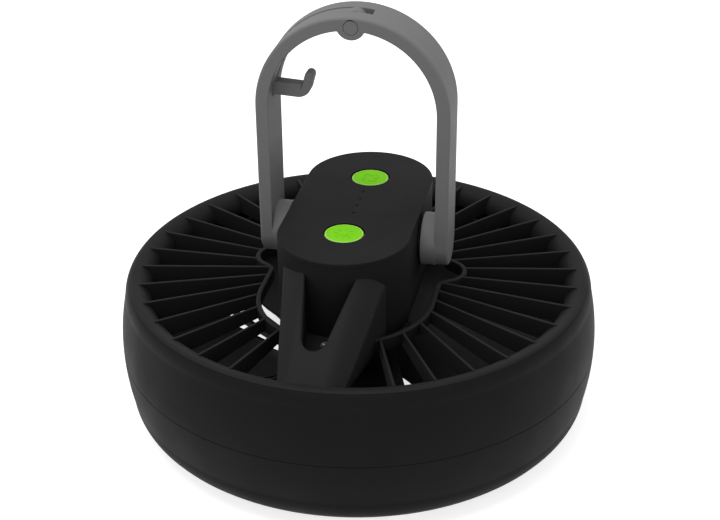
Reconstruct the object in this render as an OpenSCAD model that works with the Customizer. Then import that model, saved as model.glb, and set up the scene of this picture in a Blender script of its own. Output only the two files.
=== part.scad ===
// Portable camping fan that lies on its outlet grille, with a folding bail and a hanging hook.
// Millimetres, +Z up. The origin is the centre of the base, X lies along the bail's pivot
// and Y along the switch pod.

/* [Casing] */
// Radius of the casing at its widest
body_r = 105.2; // [87:0.1:127]
// Height of the rim's crest above the table
casing_h = 67.8; // [56:0.1:90]
// Radius of the bulge of the side wall, seen from the side
bulge_r = 96.4; // [80:0.1:200]
// Height of the widest point
belly_z = 38; // [30:0.5:46]
// Height of the seam between the two shells
belly_seam_z = 36.2; // [30:0.1:44]
// Height of the seam between the outlet grille and the lower shell
base_seam_z = 9; // [8:0.1:10]
// Height at which the rounded base corner meets the side
corner_z = 16; // [14:0.5:20]
// Distance from the widest radius in to the flat of the base
base_inset = 21.2; // [16:0.1:26]
// Wall of the shells
wall = 2.2; // [1.6:0.1:3]
// Width across the rounded part of the rim, from its shoulder to the crest
rim_round_w = 3.6; // [2.5:0.1:6]
// Height over which the rim rounds over
rim_round_h = 7; // [5:0.1:10]
// Depth of the rim's seam below the crest
rim_seam_drop = 0.8; // [0.6:0.1:1.4]
// Width of the bell mouth, from the crest in to the throat
mouth_w = 8; // [4:0.1:9]
// Height of the bell mouth
mouth_h = 8; // [6:0.1:10]
// How long the bell mouth stays nearly flat before it falls (1 is a plain quarter ellipse)
mouth_ease = 1.5; // [1:0.1:2]

/* [Intake grille] */
// Number of places for fins round the circle
fin_places = 36; // [24:4:48]
// Thickness of a fin
fin_t = 1.25; // [1:0.05:2]
// Depth of the fins at the rim
fin_h = 8.5; // [7:0.5:14]
// Depth of the inner ring, and of the fins there
ring_h = 5.5; // [3:0.1:9]
// Depth of the fins' top edge below the crest
fin_drop = 0.3; // [0.2:0.1:3]
// Clear gap between the pod and the inner ring
ring_gap = 8; // [6:0.1:12]
// Wall of the inner ring
ring_t = 2.2; // [1.6:0.1:3]
// Radius of the ring's lobe round each end of the bail
lobe_r = 11; // [9:0.1:13]
// Clear gap between a leg of the bail and the lobe
lobe_gap = 4.6; // [2:0.1:8]
// Distance from the bail's axis back to the middle of a lobe
lobe_y = 4.5; // [0:0.1:6]

/* [Struts] */
// Half width of a strut where it meets the pod
strut_pod_w = 22; // [16:0.5:24]
// Distance from the crest in to the foot of a strut's top
strut_foot = 5.5; // [4:0.1:8]
// Half width of a strut at the rim
strut_rim_w = 12.8; // [8:0.1:16]
// Height of a strut's top above the rim's crest, where its slot meets the pod
strut_rise = 24.2; // [16:0.1:26]
// Radius of the round long edges of a strut
strut_edge_r = 12; // [6:0.5:20]
// Half width of the strut's slot at the pod
slot_pod_w = 11.5; // [8:0.1:13]
// Radius of the slot's round end
slot_end_r = 5; // [3.5:0.1:6]
// Distance from the slot's round end to the rim's inner edge
slot_end_gap = 11.5; // [10:0.1:26]
// Distance of the slot from the strut's middle
slot_x = 1.4; // [0:0.1:2]

/* [Pod] */
// Half width of the pod, and the radius of its ends
pod_r = 28; // [26.5:0.1:34]
// Half the distance between the centres of its ends
pod_half = 27.35; // [24:0.05:36]
// Height of the pod's top above the rim's crest
pod_rise = 30.8; // [28:0.1:36]
// Wall of the pod
pod_wall = 2; // [1.6:0.1:3]
// Visible thickness of the pod's lid
lid_t = 2; // [1.6:0.1:3]
// Radius of a button
button_r = 8.3; // [6:0.1:10]
// Distance of a button from the pod's middle
button_y = 27.6; // [24:0.1:31]
// How far a button stands proud of the lid
button_proud = 0.1; // [0.1:0.1:1]
// Travel of a button
button_travel = 0.8; // [0.4:0.1:1]
// Radius of a charge light
light_r = 0.6; // [0.5:0.05:1]
// Distance between charge lights
light_pitch = 7; // [4:0.1:8]

/* [Bail] */
// Height of the pivot above the rim's crest
pivot_rise = 17.3; // [14:0.1:20]
// Height of the pod's pivot bosses, out from its side
boss_proud = 0.8; // [0.5:0.1:5]
// Radius of the disc inside the end of each leg
bail_end_r = 11.4; // [11:0.1:14]
// Thickness of the disc, inside the strap
disc_t = 6.3; // [3:0.1:7]
// Thickness of the strap
strap_t = 5.6; // [4:0.1:7]
// Width of the strap
strap_w = 22; // [16:0.5:22.5]
// Distance from the pivot up to the centre of the arch
leg_h = 60; // [52:0.1:75]
// Radius of the pivot screws
pivot_r = 2.5; // [2:0.1:3]

/* [Hook] */
// Width of the slot that the hook lies in
hook_slot_w = 6; // [4.8:0.1:9]
// Side clearance of the hook in its slot
hook_gap = 0.3; // [0.2:0.05:0.5]
// Radius of the hook's pin
hook_pin_r = 1.5; // [1:0.1:2]
// Radius of the hook's eye
hook_eye_r = 4.5; // [3.8:0.1:5]
// Depth of the hook's pin below the top of the arch
hook_pin_drop = 4.3; // [3.6:0.1:5]
// Radius of the bulge under the arch that the pin goes through
hook_cheek_r = 6.2; // [5.5:0.1:7]
// Height of the hook's bar where it leaves the leg
hook_bar_h = 6.8; // [4:0.1:8]
// Height of the hook's bar where it curls up
hook_bend_h = 5.9; // [3.4:0.1:7]
// Height by which the underside of the bar falls towards the curl
hook_dip = 0.7; // [0:0.1:1.2]
// Thickness of the hook's tip
hook_tip_t = 3.9; // [2.4:0.1:4.5]
// Outer radius of the hook's curl
hook_curl_r = 5.9; // [4.7:0.1:7]
// Angle by which the tip leans out
hook_lean = 15; // [0:1:30]
// Distance from the inside of the leg to the outside of the curl
hook_reach = 16.7; // [14:0.1:20]
// Height of the hook's tip above the underside of its curl
hook_tip_h = 11.6; // [9:0.1:14]

/* [Impeller and motor] */
// Number of blades
blades = 5; // [4:1:7]
// Gap between the blade tips and the duct
tip_gap = 2.5; // [1.5:0.1:4]
// Radius of the hub
hub_r = 23; // [21:0.5:30]
// Height of the hub's underside above the table
hub_z = 18; // [16:0.5:22]
// Height of the hub
hub_h = 24; // [20:0.5:28]
// Angle of the first blade, at rest
blade_start = 4; // [0:1:360]
// Height of the blades' middle above the hub's lower face
blade_rise = 7.7; // [7.5:0.1:15]
// Radius of the motor
motor_r = 18; // [15:0.5:21]
// Height of the motor's can
motor_h = 22; // [18:0.5:24]
// Radius of the motor's shaft
shaft_r = 1.5; // [1:0.1:2.5]

/* [Outlet grille and lamp] */
// Height of the grille's flat above the table, under which the feet stand
foot_h = 1.2; // [0.8:0.1:2]
// Thickness of the grille's bars
bar_h = 3; // [2:0.1:4]
// Width of the grille's bars
bar_w = 2.2; // [1.6:0.1:3]
// Number of long bars, each with a short one beside it outside the guard ring
bars = 30; // [20:2:36]
// Radius of the ring that the long bars start at
inner_ring_r = 36; // [32:0.5:42]
// Radius of the ring that the short bars start at
guard_ring_r = 62; // [54:0.5:66]
// Radius of the grille's hub
lamp_r = 21; // [19:0.5:24]
// Radius of the lamp's lens
lens_r = 15.8; // [12:0.1:17]

/* [Hidden] */
$fn = 64;

touch = 0.01;          // sinks one shape into the next within a piece
fit = 0.1;             // clearance of parts that seat in each other
seat_gap = 0.05;       // clearance of curved faces that seat on each other
run_fit = 0.04;        // radial clearance of a shaft or pin that turns in its hole
body_gap = 0.3;        // clearance between bodies that move past each other

// Casing
base_r = body_r - base_inset;
shoulder_z = casing_h - rim_round_h;
crest_r = side_x(shoulder_z) - rim_round_w;
rim_seam_z = casing_h - rim_seam_drop;
rim_in_r = crest_r - mouth_w;
strut_foot_r = crest_r - strut_foot;
fin_top_z = casing_h - fin_drop;
fin_base_z = fin_top_z - fin_h;
arc_step = 7.5;

// Posts that the long screws join the casing through, as far out as the lower shell lets the heads
posts = 6;
post_r = 3;
post_turn = 30;
screw_r = 1.5;
screw_head_r = 2.5;
screw_head_h = 2;
shell_in_r = corner_pt(corner_turn(base_seam_z, wall), wall)[0];
post_at = shell_in_r - fit - screw_head_r;
screw_z = 7.4;
duct_z = 12;
flange_t = 2;
post_top_z = fin_base_z - 2;
screw_top_z = post_top_z - 2;
duct_t = 1.6;
duct_r = post_at - post_r - duct_t - 1;
duct_top_z = post_top_z - 2;
impeller_r = duct_r - tip_gap;

// Motor bracket, on which the pod and the struts sit
bracket_t = 3.5;
bracket_w = 24;
pod_z = casing_h - 6;
bracket_z = pod_z - bracket_t;
floor_t = 2.5;
slot_end_y = strut_foot_r - slot_end_gap - slot_end_r;
strut_screw_y = min(pod_half + pod_r + screw_head_r + 6.5, slot_end_y);
pod_screw_x = 8.5;
pod_screw_y = pod_half + 16;
pod_boss_r = 3.2;

// Pod
pod_top_z = casing_h + pod_rise;
lid_z = pod_top_z - lid_t;
lid_skirt_h = 3.6;
board_z = lid_z - 8.6;
board_t = 1.6;
board_half_w = pod_r - 8;
board_half_l = pod_half + pod_r - 13.4;
board_r = pod_r - pod_wall - 2;
switch_top_z = lid_z - 5;
flange_r = button_r + 1.5;
flange_h = 1.4;
flange_gap = 0.4;
button_gap = 0.4;
stem_z = switch_top_z + button_travel + 0.1;
cell_r = 9.2;
cell_l = 65;
cell_x = 9.5;
cell_z = pod_z + floor_t + 2.3 + cell_r;
port_w = 9;
port_h = 3.2;
port_l = 7.3;
port_z = pod_z + 18;

// Bail and pivot
pivot_z = casing_h + pivot_rise;
boss_x = pod_r + boss_proud;
disc_x = boss_x + body_gap;
arch_r = disc_x + disc_t;
bail_out = arch_r + strap_t;
lobe_reach = bail_out + lobe_gap + ring_t;
arch_z = pivot_z + leg_h;
pivot_seat_x = pod_r - 4;
washer_t = 0.7;
pivot_head_t = 2.3;
pivot_depth = 6.5;

// Hook
hook_pin_z = arch_z + bail_out - hook_pin_drop;
hook_w = hook_slot_w - 2 * hook_gap;
hook_arm_in = arch_r + 0.3;
hook_arm_out = bail_out - 0.3;
hook_curl_x = -arch_r + hook_reach - hook_curl_r;
hook_foot_z = arch_z + 2;

// Motor, hung under the bracket
motor_z = bracket_z - motor_h;
end_plate_t = 2;
can_t = 1.5;
can_top_t = 3;
bush_r = 4;
bush_h = 4;
magnet_r = motor_r - 4;
rotor_r = magnet_r - 1;
shaft_low_z = hub_z - 3;
hub_web_t = 2.5;
hub_wall = 2;
boss_r = 5;
hub_boss_z = motor_z - end_plate_t - 2.5;
nut_h = 2.6;

// Grille and lamp
tongue_r = shell_in_r - 0.3;
tongue_t = 1;
grille_r = tongue_r - tongue_t;
pad_r = 6;
pad_sink = 0.8;
pad_at = base_r - 1.5;
lens_z = foot_h + 0.4;
lens_t = 1.6;
bowl_t = 1.2;
bowl_top_z = foot_h + 9.8;
bowl_r = lamp_r - 2;
lamp_screw_at = lamp_r - 3.3;
led_board_z = bowl_top_z - bowl_t - 2;
leds = 12;
led_at = 9.5;

// Outer face of the casing, as points (radius, height), and the same face set in by a wall
function side_x(z) = body_r - (bulge_r - sqrt(bulge_r ^ 2 - (z - belly_z) ^ 2));
function corner_pt(t, inset = 0) =
    [base_r + (side_x(corner_z) - base_r - inset) * sin(t),
        corner_z - (corner_z - foot_h - inset) * cos(t)];
function rim_pt(t, inset = 0) =
    [crest_r + (side_x(shoulder_z) - crest_r - inset) * cos(t),
        shoulder_z + (rim_round_h - inset) * sin(t)];
function corner_turn(z, inset = 0) = acos(min(1, (corner_z - z) / (corner_z - foot_h - inset)));
function rim_turn(z, inset = 0) = asin(min(1, (z - shoulder_z) / (rim_round_h - inset)));
function turns(a, b) = let (n = max(1, round(abs(b - a) / arc_step)))
    [for (i = [0:n]) a + (b - a) * i / n];
function corner_arc(z_low, z_high, inset = 0) =
    [for (t = turns(corner_turn(z_low, inset), corner_turn(z_high, inset))) corner_pt(t, inset)];
function side_arc(z_low, z_high, inset = 0) = let (n = 6)
    [for (i = [0:n]) let (z = z_low + (z_high - z_low) * i / n) [side_x(z) - inset, z]];
function rim_arc(z_low, z_high, inset = 0) =
    [for (t = turns(rim_turn(z_low, inset), rim_turn(z_high, inset))) rim_pt(t, inset)];
function reversed(points) = [for (i = [len(points) - 1:-1:0]) points[i]];

module stadium(r, half) {
    for (s = [-1, 1]) translate([0, s * half]) circle(r);
    square([2 * r, 2 * half], center = true);
}

module round_posts(at, turn = post_turn, count = posts) {
    for (i = [0:count - 1]) rotate(turn + i * 360 / count) translate([at, 0]) children();
}

module both_ends() {
    for (s = [0, 180]) rotate(s) children();
}

module pod_corners() {
    for (x = [-1, 1], y = [-1, 1]) translate([x * pod_screw_x, y * pod_screw_y]) children();
}

module along_x() {
    rotate([0, 90, 0]) children();
}

module along_y() {
    rotate([-90, 0, 0]) children();
}

// ---- Casing ----

module grille_bars(count, turn, from_r, to_r) {
    for (i = [0:count - 1]) rotate(turn + i * 360 / count)
        translate([from_r, -bar_w / 2]) square([to_r - from_r, bar_w]);
}

module grille_plan() {
    difference() {
        union() {
            circle(lamp_r);
            for (r = [inner_ring_r, guard_ring_r, body_r]) difference() {
                circle(r);
                circle(min(r - bar_w, grille_r));
            }
            grille_bars(4, 0, lamp_r - 1, inner_ring_r - 1);
            grille_bars(bars, 0, inner_ring_r - 1, grille_r + 1);
            grille_bars(bars, 180 / bars, guard_ring_r - 1, grille_r + 1);
            round_posts(pad_at, 0, 4) circle(pad_r + 1.6);
        }
        circle(lens_r + fit);
    }
}

// The dish follows the outer face, with the grille's pattern cut through it
module outlet_grille() {
    color("#222326") {
        difference() {
            union() {
                intersection() {
                    rotate_extrude() polygon(concat([[0, foot_h]],
                        corner_arc(foot_h, base_seam_z),
                        reversed(corner_arc(foot_h + bar_h, base_seam_z, bar_h)),
                        [[0, foot_h + bar_h]]));
                    linear_extrude(base_seam_z) grille_plan();
                }
                rotate_extrude() translate([tongue_r - tongue_t, base_seam_z - 2])
                    square([tongue_t, 4.6]);
                intersection() {
                    round_posts(post_at) cylinder(r = post_r, h = duct_z);
                    rotate_extrude() polygon(concat([[0, foot_h]],
                        corner_arc(foot_h, base_seam_z),
                        corner_arc(base_seam_z, duct_z, wall + fit), [[0, duct_z]]));
                }
            }
            round_posts(post_at) {
                cylinder(r = screw_head_r + 0.25, h = screw_z + screw_head_h);
                cylinder(r = screw_r + fit, h = duct_z + 1);
            }
            round_posts(pad_at, 0, 4) cylinder(r = pad_r, h = foot_h + pad_sink);
            round_posts(lamp_screw_at, 0, 3) cylinder(r = 1, h = foot_h + bar_h + 1);
        }
    }
}

module foot_pads() {
    color("#141414") round_posts(pad_at, 0, 4) {
        cylinder(r1 = pad_r - 0.6, r2 = pad_r - fit, h = 0.6);
        translate([0, 0, 0.6 - touch]) cylinder(r = pad_r - fit, h = foot_h + pad_sink - 0.6 + touch);
    }
}

// Ribs that tie the posts to the inside of the side wall
module post_ribs(z_low, z_high) {
    intersection() {
        round_posts(post_at) translate([0, -1, z_low]) cube([body_r - post_at, 2, z_high - z_low]);
        rotate_extrude() polygon(concat([[0, z_low]], side_arc(z_low, z_high, wall / 2), [[0, z_high]]));
    }
}

module lower_shell() {
    tongue_h = 2;
    tongue_in = side_x(belly_seam_z) - wall;
    post_z = duct_z + flange_t;
    color("#26272a") difference() {
        union() {
            rotate_extrude() polygon(concat(
                corner_arc(base_seam_z, corner_z), side_arc(corner_z + 3, belly_seam_z),
                [[tongue_in + wall / 2, belly_seam_z],
                    [tongue_in + wall / 2, belly_seam_z + tongue_h],
                    [tongue_in, belly_seam_z + tongue_h]],
                reversed(side_arc(corner_z + 3, belly_seam_z, wall)),
                reversed(corner_arc(base_seam_z, corner_z, wall))));
            round_posts(post_at) translate([0, 0, post_z])
                cylinder(r = post_r, h = belly_seam_z - post_z);
            post_ribs(corner_z + 3, belly_seam_z);
        }
        round_posts(post_at) cylinder(r = screw_r + fit, h = belly_seam_z + 1);
    }
}

module air_duct() {
    color("#1b1c1e") difference() {
        union() {
            translate([0, 0, duct_z]) cylinder(r = duct_r + duct_t, h = duct_top_z - duct_z);
            translate([0, 0, duct_z])
                cylinder(r = corner_pt(corner_turn(duct_z, wall), wall)[0] - body_gap, h = flange_t);
        }
        translate([0, 0, duct_z - 1]) cylinder(r = duct_r, h = duct_top_z - duct_z + 2);
        round_posts(post_at) cylinder(r = screw_r + fit, h = duct_z + flange_t + 1);
    }
}

module upper_shell() {
    rebate_h = 2.3;
    rebate_r = side_x(belly_seam_z) - wall / 2 + fit;
    color("#1f2022") difference() {
        union() {
            rotate_extrude() polygon(concat(
                side_arc(belly_seam_z, shoulder_z), rim_arc(shoulder_z + 1, rim_seam_z),
                [[crest_r + 0.2, rim_seam_z]],
                reversed(rim_arc(shoulder_z + 1, rim_seam_z - wall + 0.4, wall)),
                reversed(side_arc(belly_seam_z + rebate_h, shoulder_z, wall)),
                [[rebate_r, belly_seam_z + rebate_h], [rebate_r, belly_seam_z]]));
            round_posts(post_at) translate([0, 0, belly_seam_z])
                cylinder(r = post_r, h = post_top_z - belly_seam_z);
            post_ribs(belly_seam_z + rebate_h + 0.2, post_top_z);
        }
        round_posts(post_at) cylinder(r = screw_r, h = screw_top_z);
    }
}

module casing_screws() {
    color("#8d9094") round_posts(post_at) {
        translate([0, 0, screw_z]) difference() {
            cylinder(r = screw_head_r, h = screw_head_h);
            translate([0, 0, -1]) cylinder(r = 1.2, h = 2, $fn = 6);
        }
        translate([0, 0, screw_z + screw_head_h - touch])
            cylinder(r = screw_r, h = screw_top_z - screw_z - screw_head_h);
    }
}

// ---- Intake grille ----

module gap_plan(inset) {
    stadium(pod_r + ring_gap + ring_t - inset, pod_half - 1);
    for (s = [-1, 1]) translate([s * (lobe_reach - lobe_r), lobe_y]) circle(lobe_r - inset);
}

module slot_plan() {
    slot_start_y = pod_half + pod_r - 4;
    polygon([[-slot_pod_w, -pod_half], [-slot_pod_w, -slot_start_y],
        [-slot_end_r, -slot_end_y], [slot_end_r, -slot_end_y],
        [slot_pod_w, -slot_start_y], [slot_pod_w, -pod_half]]);
    translate([0, -slot_end_y]) circle(slot_end_r);
}

module strut_plan() {
    pod_y = -pod_half - sqrt(pod_r ^ 2 - strut_pod_w ^ 2);
    intersection() {
        difference() {
            polygon([[-strut_pod_w, -pod_half], [-strut_pod_w, pod_y],
                [-strut_rim_w, -strut_foot_r - 1], [strut_rim_w, -strut_foot_r - 1],
                [strut_pod_w, pod_y], [strut_pod_w, -pod_half]]);
            stadium(pod_r + seat_gap, pod_half);
        }
        circle(strut_foot_r + 1);
    }
}

// What lies under a strut's top, which climbs from the rim to the pod and falls at its long edges
module strut_crown() {
    run = strut_foot_r - pod_half - sqrt(pod_r ^ 2 - slot_pod_w ^ 2);
    pitch = atan((strut_rise + fin_drop) / run);
    edge = [for (t = turns(0, 60)) [slot_pod_w + strut_edge_r * sin(t), -strut_edge_r * (1 - cos(t))]];
    translate([0, -strut_foot_r, fin_top_z]) rotate([90 - pitch, 0, 180]) translate([0, 0, -10])
        linear_extrude(strut_foot_r + 10) polygon(concat(edge, [[strut_pod_w + 3, -strut_foot_r],
            [-strut_pod_w - 3, -strut_foot_r]], [for (p = reversed(edge)) [-p[0], p[1]]]));
}

// One strut, with its open slot and the web under it that the screw goes through
module strut() {
    difference() {
        intersection() {
            translate([0, 0, pod_z]) linear_extrude(pod_top_z - pod_z) strut_plan();
            strut_crown();
        }
        translate([-slot_x, 0, pod_z + floor_t]) linear_extrude(50) slot_plan();
        translate([0, -strut_screw_y, pod_z - 1]) cylinder(r = screw_r + fit, h = floor_t + 2);
    }
}

// Rim with its bell mouth, from the seam over the crest and down to the throat
module rim_section() {
    back_r = rim_in_r + 1.9;
    polygon(concat(rim_arc(rim_seam_z, casing_h),
        [for (t = turns(arc_step, 90)) 
            [crest_r - mouth_w * sin(t), casing_h - mouth_h * (1 - cos(t)) ^ mouth_ease]],
        [[rim_in_r, fin_base_z], [back_r, fin_base_z], [back_r, casing_h - mouth_h],
            [crest_r - 0.2, rim_seam_z]]));
}

// Space that the fins fill, which is shallower at the inner ring than at the rim
module fin_section() {
    polygon([[0, fin_top_z - ring_h], [pod_r + ring_gap, fin_top_z - ring_h], [rim_in_r + 0.5, fin_base_z],
        [rim_in_r + 0.5, casing_h - mouth_h], [crest_r - 1, fin_top_z], [0, fin_top_z]]);
}

module fin_plan() {
    strut_places = fin_places / 4;
    difference() {
        for (i = [0:fin_places - 1]) if (abs(i % (fin_places / 2) - strut_places) > 1)
            rotate(i * 360 / fin_places) translate([0, -fin_t / 2]) square([crest_r, fin_t]);
        gap_plan(ring_t / 2);
        square([bracket_w + 2 * body_gap, 2 * rim_in_r], center = true);
    }
}

module intake_grille() {
    color("#2b2c2f") {
        rotate_extrude() rim_section();
        // The ring is cut away where a strut's slot and the bracket's arm pass
        translate([0, 0, fin_top_z - ring_h]) linear_extrude(ring_h) difference() {
            gap_plan(0);
            gap_plan(ring_t);
            square([bracket_w + 2 * body_gap, 2 * rim_in_r], center = true);
        }
        intersection() {
            translate([0, 0, fin_base_z]) linear_extrude(fin_h) fin_plan();
            rotate_extrude() fin_section();
        }
        both_ends() strut();
    }
}

// ---- Motor bracket ----

module motor_bracket() {
    arm_y = strut_screw_y + 7;
    color("#3a3b3e") difference() {
        translate([0, 0, bracket_z]) linear_extrude(bracket_t) {
            circle(motor_r + 3);
            square([bracket_w, 2 * (arm_y - bracket_w / 2)], center = true);
            for (s = [-1, 1]) translate([0, s * (arm_y - bracket_w / 2)]) circle(bracket_w / 2);
        }
        translate([0, 0, bracket_z - 1]) {
            for (s = [-1, 1]) {
                translate([0, s * strut_screw_y]) cylinder(r = screw_r, h = bracket_t + 2);
                translate([s * 9, 0]) cylinder(r = 1.35, h = bracket_t + 2);
                translate([s * 9, 0, 2.5]) cylinder(r = 2.5, h = bracket_t);
            }
            pod_corners() cylinder(r = screw_r + fit, h = bracket_t + 2);
            cylinder(r = bush_r + 1, h = bracket_t + 2);
        }
    }
}

module strut_screws() {
    color("#b9bcc0") for (s = [-1, 1]) translate([0, s * strut_screw_y]) {
        translate([0, 0, bracket_z + 0.3]) cylinder(r = screw_r, h = bracket_t + floor_t);
        translate([0, 0, pod_z + floor_t]) difference() {
            cylinder(r = screw_head_r, h = screw_head_h);
            for (a = [0, 90]) rotate(a) translate([-1.6, -0.35, 0.9]) cube([3.2, 0.7, 2]);
        }
    }
}

// ---- Pod ----

module pod_housing() {
    color("#1d1e20") difference() {
        union() {
            difference() {
                translate([0, 0, pod_z]) linear_extrude(lid_z - pod_z) stadium(pod_r, pod_half);
                translate([0, 0, pod_z + floor_t]) linear_extrude(lid_z)
                    stadium(pod_r - pod_wall, pod_half);
            }
            for (s = [0, 180]) rotate(s) translate([0, 0, pivot_z]) along_x() {
                translate([0, 0, pod_r - 0.5]) cylinder(r = bail_end_r - 1.5, h = boss_x - pod_r + 0.5);
                translate([0, 0, pivot_seat_x]) cylinder(r = 6.5, h = pod_r - pivot_seat_x - 0.5);
            }
            // Posts that carry the control board
            for (x = [-1, 1], y = [-1, 1])
                translate([x * (board_half_w - 3), y * (board_half_l - 3), pod_z + floor_t - touch])
                    cylinder(r = 2.2, h = board_z - pod_z - floor_t + touch);
        }
        for (s = [0, 180]) rotate(s) translate([0, 0, pivot_z]) along_x()
            cylinder(r = pivot_r + run_fit, h = boss_x + 1);
        translate([0, pod_half + pod_r, port_z]) cube([port_w + 1.4, 8, port_h + 1.4], center = true);
        pod_corners() translate([0, 0, pod_z - 1]) cylinder(r = screw_r + fit, h = floor_t + 2);
        translate([0, 0, pod_z - 1]) cylinder(r = bush_r + 1, h = floor_t + 2);
    }
}

module pod_lid() {
    skirt = pod_r - pod_wall - fit;
    color("#2c2d30") difference() {
        union() {
            translate([0, 0, lid_z]) linear_extrude(lid_t - 0.6) stadium(pod_r, pod_half);
            translate([0, 0, pod_top_z - 0.6]) linear_extrude(0.6) stadium(pod_r - 0.5, pod_half);
            difference() {
                translate([0, 0, lid_z - lid_skirt_h]) linear_extrude(lid_skirt_h + touch)
                    stadium(skirt, pod_half);
                translate([0, 0, lid_z - lid_skirt_h - 1]) linear_extrude(lid_skirt_h + 1)
                    stadium(skirt - 1.4, pod_half);
            }
            // Bosses that the four long screws from below pull the lid down by
            pod_corners() translate([0, 0, pod_z + floor_t])
                cylinder(r = pod_boss_r, h = lid_z - pod_z - floor_t + touch);
        }
        for (s = [-1, 1]) translate([0, s * button_y, lid_z - 1])
            cylinder(r = button_r + button_gap, h = lid_t + 2);
        pod_corners() translate([0, 0, pod_z]) cylinder(r = screw_r, h = floor_t + 12);
        for (i = [0:3]) translate([0, (i - 1.5) * light_pitch + 2, lid_z - 1])
            cylinder(r = light_r + 0.05, h = lid_t + 2, $fn = 24);
    }
}

module pod_screws() {
    color("#8d9094") pod_corners() translate([0, 0, bracket_z - screw_head_h]) {
        cylinder(r = screw_head_r, h = screw_head_h);
        cylinder(r = screw_r, h = screw_head_h + bracket_t + floor_t + 9);
    }
}

module control_board() {
    color("#1f5a35") translate([0, 0, board_z]) linear_extrude(board_t) difference() {
        intersection() {
            square([2 * board_half_w, 2 * board_half_l], center = true);
            stadium(board_r, pod_half);
        }
        pod_corners() circle(pod_boss_r + body_gap);
    }
}

module tact_switches() {
    color("#3c3c3c") for (s = [-1, 1]) translate([0, s * button_y, board_z + board_t]) {
        translate([-3, -3, 0]) cube([6, 6, 1.6]);
        cylinder(r = 1.6, h = switch_top_z - board_z - board_t);
    }
}

// Four light pins on one bar under the lid
module charge_lights() {
    bar_top_z = lid_z - 1;
    color("#d8dadc") translate([0, 2, 0]) {
        translate([-1.6, -1.5 * light_pitch - 1, bar_top_z - 1.2]) cube([3.2, 3 * light_pitch + 2, 1.2]);
        for (i = [0:3]) translate([0, (i - 1.5) * light_pitch, bar_top_z - touch])
            cylinder(r = light_r, h = pod_top_z - bar_top_z, $fn = 24);
        for (s = [-1, 1]) translate([-1.6, s * 1.5 * light_pitch - 1, board_z + board_t])
            cube([3.2, 2, bar_top_z - 1 - board_z - board_t]);
    }
}

module usb_port() {
    shell = 0.3;
    front_y = pod_half + pod_r - 1.2;
    color("#b4b7ba") translate([0, front_y - port_l, port_z]) {
        difference() {
            translate([-port_w / 2, 0, -port_h / 2]) cube([port_w, port_l, port_h]);
            translate([-port_w / 2 + shell, 1, -port_h / 2 + shell])
                cube([port_w - 2 * shell, port_l, port_h - 2 * shell]);
        }
        translate([-3.3, 0.5, -0.35]) cube([6.6, port_l - 2, 0.7]);
        // Foot that joins the port to the floor of the pod
        translate([-3, 0, -port_h / 2 - (port_z - pod_z - floor_t - port_h / 2)])
            cube([6, 1.6, port_z - pod_z - floor_t - port_h / 2 + touch]);
    }
}

module battery_tray() {
    tray_h = 7;
    tray_half_l = cell_l / 2 + 3;
    color("#2a2b2d") translate([0, 0, pod_z + floor_t]) difference() {
        translate([-cell_x - cell_r, -tray_half_l, 0]) cube([2 * (cell_x + cell_r), 2 * tray_half_l, tray_h]);
        for (s = [-1, 1]) translate([s * cell_x, 0, cell_z - pod_z - floor_t]) along_y()
            cylinder(r = cell_r + fit, h = cell_l + 3.2, center = true);
    }
}

module battery_cells() {
    color("#2f6fb0") for (s = [-1, 1]) translate([s * cell_x, 0, cell_z]) along_y() {
        cylinder(r = cell_r, h = cell_l - 1.5, center = true);
        translate([0, 0, cell_l / 2 - 1]) cylinder(r = 3, h = 1);
    }
}

module cell_contacts() {
    color("#c9ccd0") for (x = [-1, 1], y = [-1, 1])
        translate([x * cell_x - 3.5, y > 0 ? cell_l / 2 + 0.05 : -cell_l / 2 - 0.1, pod_z + floor_t + 3.4])
            cube([7, 0.8, 10]);
}

// ---- Motor ----

module motor_can() {
    color("#9a9da1") difference() {
        translate([0, 0, motor_z]) cylinder(r = motor_r, h = motor_h);
        translate([0, 0, motor_z - 1]) cylinder(r = motor_r - can_t, h = motor_h - can_top_t + 1);
        translate([0, 0, motor_z]) cylinder(r = bush_r, h = motor_h + 1);
        for (s = [-1, 1]) translate([s * 9, 0, motor_z]) cylinder(r = 1.25, h = motor_h + 1);
    }
}

module motor_end_plate() {
    color("#46484b") translate([0, 0, motor_z - end_plate_t]) difference() {
        union() {
            cylinder(r = motor_r, h = end_plate_t);
            cylinder(r = bush_r + 1.5, h = bush_h);
        }
        translate([0, 0, -1]) cylinder(r = bush_r, h = bush_h + 2);
    }
}

module motor_bushes() {
    color("#b08a4a") difference() {
        for (z = [motor_z - end_plate_t, bracket_z - bush_h]) translate([0, 0, z])
            cylinder(r = bush_r, h = bush_h);
        cylinder(r = shaft_r + run_fit, h = casing_h);
    }
}

module motor_magnets() {
    color("#4a4440") difference() {
        translate([0, 0, motor_z + 1])
            cylinder(r = motor_r - can_t - seat_gap, h = motor_h - can_top_t - 2);
        cylinder(r = magnet_r, h = casing_h);
        translate([-4, -motor_r, 0]) cube([8, 2 * motor_r, casing_h]);
    }
}

module motor_screws() {
    color("#8d9094") for (s = [-1, 1]) translate([s * 9, 0]) {
        translate([0, 0, bracket_z + 1.5]) cylinder(r = 2.3, h = 1.6);
        translate([0, 0, bracket_z - can_top_t + 0.4]) cylinder(r = 1.25, h = can_top_t + 1.5);
    }
}

// ---- Lamp ----

module lamp_bowl() {
    seat_z = foot_h + bar_h;
    color("#e8e9ea") difference() {
        union() {
            translate([0, 0, seat_z]) cylinder(r = bowl_r - 3, h = bowl_top_z - seat_z);
            translate([0, 0, seat_z]) cylinder(r = bowl_r, h = bowl_t);
        }
        translate([0, 0, seat_z - 1]) cylinder(r = bowl_r - 3 - bowl_t, h = bowl_top_z - bowl_t - seat_z + 1);
        round_posts(lamp_screw_at, 0, 3) cylinder(r = 1.1, h = seat_z + bowl_t + 1);
    }
}

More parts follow.
